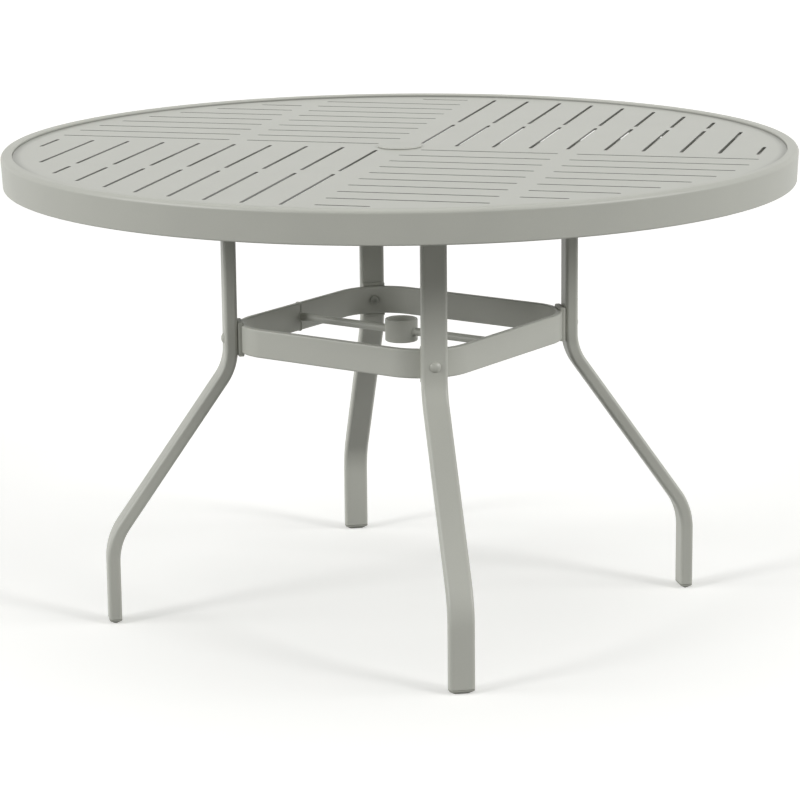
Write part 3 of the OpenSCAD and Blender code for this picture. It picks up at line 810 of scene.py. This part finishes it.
def makeScrews():
    s = fastenerSizes
    top = s["screwTop"] - s["screwSeat"]
    head = domeProfile(s["screwHead"], s["screwHeadHeight"], s["screwHeadEdge"], 14)
    aroundSocket = [p for p in head if p[0] > s["screwSocket"] + s["screwLand"]]
    depth = -s["screwHeadHeight"] / 2
    flat = aroundSocket[0][1]
    profile = [(0, depth), (s["screwSocket"], depth, "hex"),
               (s["screwSocket"], flat + s["screwFlareDepth"], "hex"),
               (s["screwSocket"] + s["screwFlare"], flat)] + aroundSocket
    profile += [(s["screwHead"], 0), (s["screwRadius"], 0),
                (s["screwRadius"], top - s["screwBevel"]),
                (s["screwRadius"] - s["screwBevel"], top), (0, top)]
    inner = lathe("plateScrew", profile, s["segments"], closed=False)
    outer = inner.copy()
    outer.data = inner.data.copy()
    bpy.context.scene.collection.objects.link(outer)
    for piece, side in ((inner, -1), (outer, 1)):
        out = legSizes["Top Radius"] + side * s["screwSpan"]
        piece.data.transform(Matrix.Translation((out * mm, 0, s["screwSeat"] * mm)))
    work = bmesh.new()
    work.from_mesh(inner.data)
    work.from_mesh(outer.data)
    work.to_mesh(inner.data)
    work.free()
    bpy.data.objects.remove(outer)
    return inner


around = {"Count": 4.0, "First Turn": firstLegAngle}
for name, source, material, slotName, node in (
        ("ringBolts", makeBolt(), boltEnamel, "painted_fasteners", "ring_bolts"),
        ("capNuts", makeNut(), shadedNutEnamel, "painted_fasteners", "cap_nuts"),
        ("plateScrews", makeScrews(), zincPlate, "zinc_steel", "plate_screws")):
    fasteners = runTree(name, patternTree, around, material, source)
    shadeSmooth(fasteners, fastenerSizes["sharpAngle"])
    finishPiece(fasteners, material, [node])
print("fasteners made")


# Pieces whose CAD shape is right: merged, smooth and painted

for name in legNames:
    for ending, part, material, slotName in (
            ("_rail", "Rail", powderCoat, "powder_coat_frame"),
            ("_leg_plate", "LegPlate", powderCoat, "powder_coat_frame"),
            ("_saddle", "Saddle", saddleNylon, "saddle_plastic")):
        finishPiece(smoothCopy(name + ending, name + part), material, [name + ending])
for node, name in (("cross_rod_far_side", "crossRodFarSide"),
                   ("cross_rod_seam_side", "crossRodSeamSide")):
    finishPiece(smoothCopy(node, name), powderCoat, [node])
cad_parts["weld_nuts"].data.materials.clear()
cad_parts["weld_nuts"].data.materials.append(zincPlate)
print("rails, plates, saddles and rods made")


# Floor, light and camera

studio = {"floorSize": 60.0, "floorGlow": 0.39, "glowLook": "#fefefa", "floorLook": "#ebebea",
          "floorBounce": "#898987", "worldLight": 0.02, "backdrop": "#fefefc"}


def cameraSees(tree):
    path = addNode(tree, "ShaderNodeLightPath").outputs
    first = addNode(tree, "ShaderNodeMath", {"operation": "MAXIMUM"},
                    {0: path["Is Camera Ray"], 1: path["Is Glossy Ray"]})
    return addNode(tree, "ShaderNodeMath", {"operation": "MAXIMUM"},
                   {0: first.outputs[0], 1: path["Is Transmission Ray"]}).outputs[0]


def makeFloor():
    half = studio["floorSize"] / 2
    floor = newPiece("studioFloor", [(-half, -half, 0), (half, -half, 0), (half, half, 0),
                                     (-half, half, 0)], [(0, 1, 2, 3)])
    material = bpy.data.materials.new("paleSeamlessPaper")
    material.use_nodes = True
    tree = material.node_tree
    tree.nodes.clear()
    paper = addNode(tree, "ShaderNodeBsdfDiffuse", {"Color": toLinear(studio["floorLook"])})
    glow = addNode(tree, "ShaderNodeEmission", {"Color": toLinear(studio["glowLook"]),
                                                "Strength": studio["floorGlow"]})
    seen = addNode(tree, "ShaderNodeAddShader", links={0: paper.outputs[0], 1: glow.outputs[0]})
    bounce = addNode(tree, "ShaderNodeBsdfDiffuse", {"Color": toLinear(studio["floorBounce"])})
    both = addNode(tree, "ShaderNodeMixShader", links={0: cameraSees(tree), 1: bounce.outputs[0],
                                                       2: seen.outputs[0]})
    addNode(tree, "ShaderNodeOutputMaterial", links={"Surface": both.outputs[0]})
    floor.data.materials.append(material)


def makeWorld():
    world = bpy.data.worlds.new("studio")
    bpy.context.scene.world = world
    world.use_nodes = True
    tree = world.node_tree
    tree.nodes.clear()
    strength = addNode(tree, "ShaderNodeMapRange", {"To Min": studio["worldLight"], "To Max": 1.0},
                       {"Value": cameraSees(tree)})
    sky = addNode(tree, "ShaderNodeBackground", {"Color": toLinear(studio["backdrop"])},
                  {"Strength": strength.outputs["Result"]})
    addNode(tree, "ShaderNodeOutputWorld", links={"Surface": sky.outputs[0]})


# The camera solved from the photo: where it stands in metres, its turn in degrees, and how
# far it looks down and rolls in radians
cameraSizes = {"distance": 4.67631, "height": 1.41657, "turn": 34.76, "down": 0.2279,
               "roll": 0.0100, "lens": 137.753, "sensor": 36, "shiftX": -0.00265,
               "clipEnd": 100}


def makeCamera():
    s = cameraSizes
    turn = math.radians(s["turn"])
    right = Vector((math.cos(turn), math.sin(turn), 0))
    level = Vector((-math.sin(turn), math.cos(turn), 0))
    forward = level * math.cos(s["down"]) - Vector((0, 0, math.sin(s["down"])))
    up = level * math.sin(s["down"]) + Vector((0, 0, math.cos(s["down"])))
    rolledRight = right * math.cos(s["roll"]) - up * math.sin(s["roll"])
    rolledUp = right * math.sin(s["roll"]) + up * math.cos(s["roll"])
    lens = bpy.data.cameras.new("photoCamera")
    lens.sensor_width = s["sensor"]
    lens.lens = s["lens"]
    lens.shift_x = s["shiftX"]
    lens.clip_end = s["clipEnd"]
    camera = bpy.data.objects.new("photoCamera", lens)
    bpy.context.scene.collection.objects.link(camera)
    stand = Matrix.Translation(-level * s["distance"] + Vector((0, 0, s["height"])))
    look = Matrix((rolledRight, rolledUp, -forward)).transposed().to_4x4()
    camera.matrix_world = stand @ look
    bpy.context.scene.camera = camera


# Far soft lamps: (turn from the camera's side to its right, height angle, spread, strength),
# angles in degrees. They stand so far off that the floor stays evenly lit all round.
lampSizes = {"overhead": (0, 90, 60, 0.92),
             "frontLeft": (-57, 22, 16, 1.22), "frontRight": (57, 24, 16, 1.24),
             "leftLow": (-80, 18, 30, 1.13), "rightLow": (80, 18, 30, 1.02)}


def addFarLamps():
    for name, (aside, high, spread, strength) in lampSizes.items():
        lamp = bpy.data.lights.new(name, "SUN")
        lamp.angle = math.radians(spread)
        lamp.energy = strength
        source = bpy.data.objects.new(name, lamp)
        bpy.context.scene.collection.objects.link(source)
        side, up = math.radians(cameraSizes["turn"] + aside), math.radians(high)
        towards = Vector((math.sin(side) * math.cos(up), -math.cos(side) * math.cos(up),
                          math.sin(up)))
        source.rotation_euler = (-towards).to_track_quat("-Z", "Y").to_euler()


makeFloor()
makeWorld()
makeCamera()
addFarLamps()
bpy.context.scene.view_settings.view_transform = "Standard"
print("floor, light and camera set")
